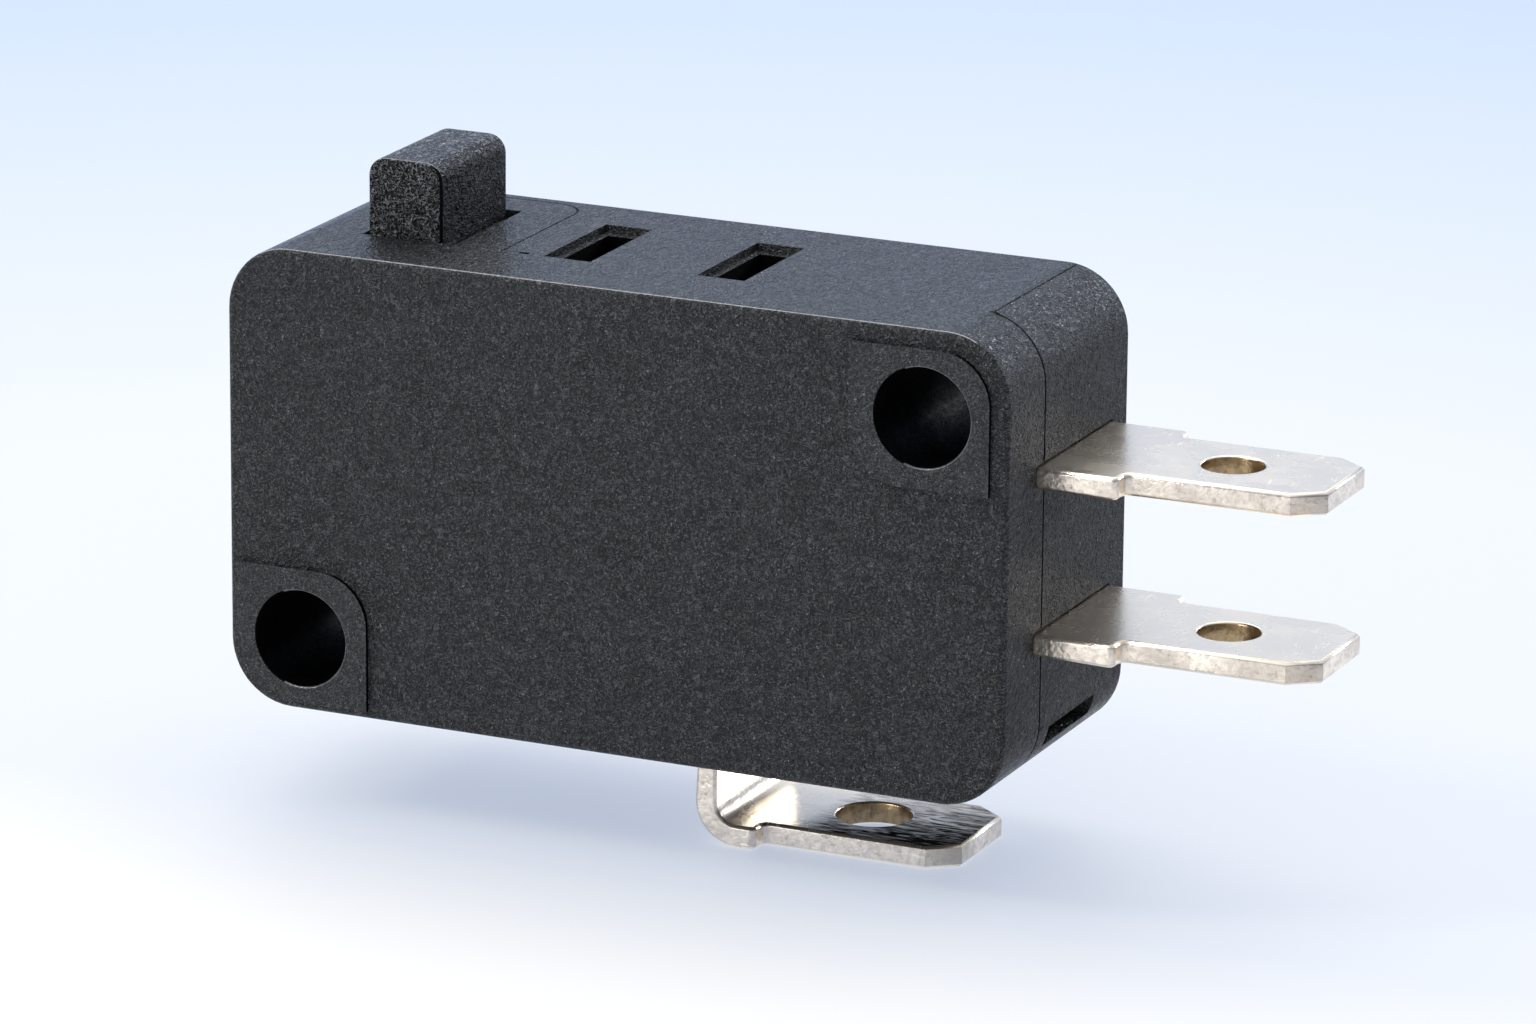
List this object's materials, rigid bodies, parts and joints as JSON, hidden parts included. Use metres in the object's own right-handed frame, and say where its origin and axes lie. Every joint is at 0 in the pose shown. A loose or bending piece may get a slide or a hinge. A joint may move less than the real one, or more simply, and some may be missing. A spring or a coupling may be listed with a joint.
{
  "type": "plunger micro switch",
  "caption": "Flat snap-action switch with a rectangular plunger, blade terminals on one end and below, and two diagonal mounting holes.",
  "frame": {"origin": "axis of the lower left mounting hole, in the plane of the rear mounting face", "axes": "+X towards the end with two terminals, +Y out of the rear mounting face, +Z the way the plunger stands out"},
  "size_m": [0.0371, 0.0103, 0.0215],
  "materials": {
    "body_plastic": "fine spark-eroded grain",
    "plunger_plastic": "coarser spark-eroded grain",
    "plated_strip": "tin-plated rolled brass with sheared edges",
    "contact_silver": "satin silver alloy",
    "spring_bronze": "rolled bronze",
    "lever_steel": "bright spring steel"
  },
  "bodies": {
    "base": {"case": "body_plastic", "cover": "body_plastic", "nc_terminal": "plated_strip", "no_terminal": "plated_strip", "com_terminal": "plated_strip", "nc_contact": "contact_silver", "no_contact": "contact_silver"},
    "plunger": {"plunger": "plunger_plastic"},
    "lever": {"actuating_lever": "lever_steel"},
    "blade": {"contact_blade": "spring_bronze", "moving_contact": "contact_silver"},
    "spring": {"snap_spring": "lever_steel"}
  },
  "joints": [
    {"name": "plunger_press", "type": "slide", "parent": "base", "child": "plunger", "axis": [0, 0, -1], "range_m": [0, 0.0016], "stiffness_N_per_m": 900, "springref_m": -0.001},
    {"name": "lever_turn", "type": "hinge", "parent": "base", "child": "lever", "pos_m": [-0.0003, -0.0046, 0.00804], "axis": [0, 1, 0], "range_deg": [0, 27.23]},
    {"name": "blade_swing", "type": "hinge", "parent": "base", "child": "blade", "pos_m": [0.005, -0.0046, 0.00654], "axis": [0, 1, 0], "range_deg": [0, 5.07]},
    {"name": "spring_swing", "type": "hinge", "parent": "blade", "child": "spring", "pos_m": [0.0145, -0.0046, 0.00654], "axis": [0, -1, 0], "range_deg": [0, 10.19], "deforming": ["snap_spring"]}
  ],
  "couplings": [
    {"joint": "lever_turn", "follows": "plunger_press", "rad_per_m": 296.9},
    {"joint": "blade_swing", "follows": "plunger_press", "rad_per_m": 55.218},
    {"joint": "spring_swing", "follows": "plunger_press", "rad_per_m": 111.05}
  ]
}
